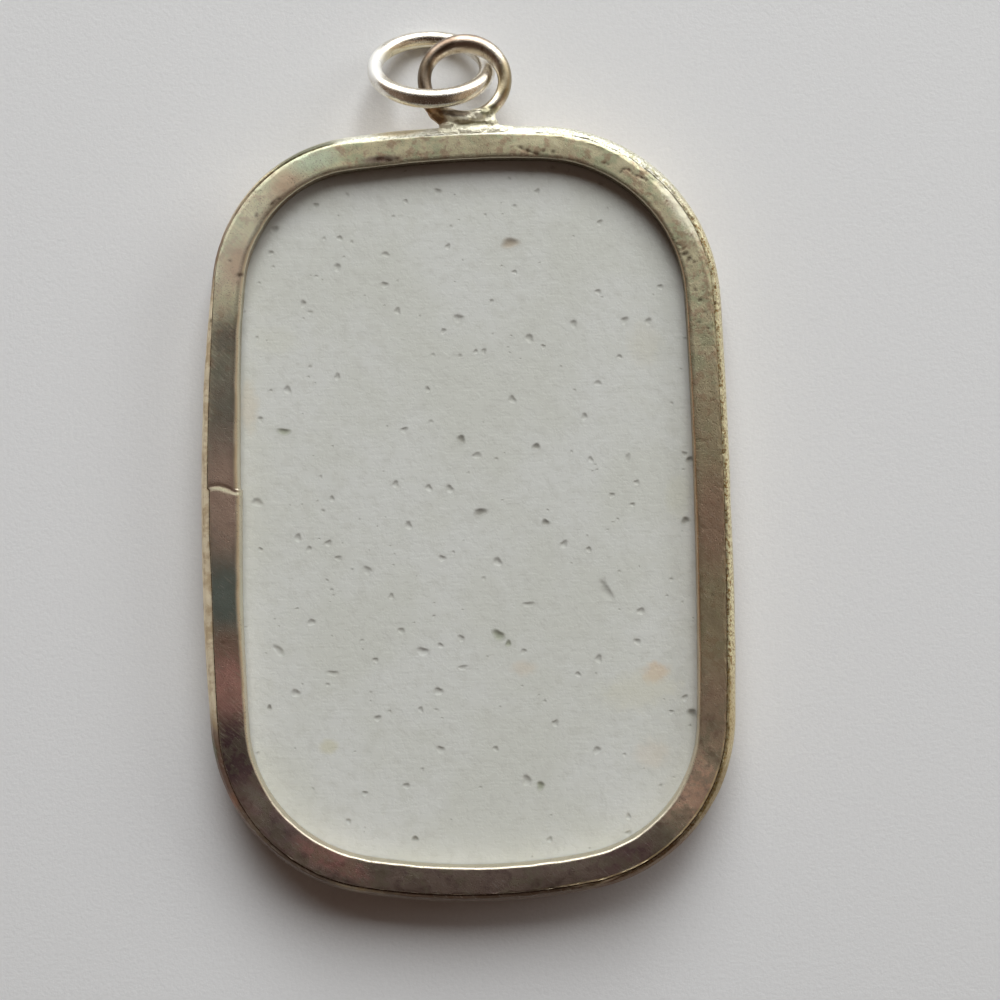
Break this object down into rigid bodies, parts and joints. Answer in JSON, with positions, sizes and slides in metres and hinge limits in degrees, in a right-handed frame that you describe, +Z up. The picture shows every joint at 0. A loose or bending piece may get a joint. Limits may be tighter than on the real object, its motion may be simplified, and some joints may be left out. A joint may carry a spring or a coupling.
{
  "type": "pottery shard pendant",
  "caption": "Rounded rectangular pottery shard in a soldered metal bezel with a bail ring and a loose jump ring, lying face down.",
  "frame": {"origin": "middle of the bottom of the whole pendant's box, on the surface that the pendant lies on", "axes": "+Z up from the front lip to the back ring, +Y from the body toward the bail, +X to the right seen from the back"},
  "size_m": [0.0388, 0.0638, 0.0072],
  "materials": {
    "setting_silver": "worn silver, filed and polished by hand, with brown and grey tarnish",
    "fired_clay": "matt unglazed clay with pores, a plain pale glaze on the hidden front",
    "ring_silver": "polished silver wire, lightly tarnished"
  },
  "bodies": {
    "root": {"setting": "setting_silver", "shard": "fired_clay", "jump_ring": "ring_silver"}
  },
  "joints": []
}
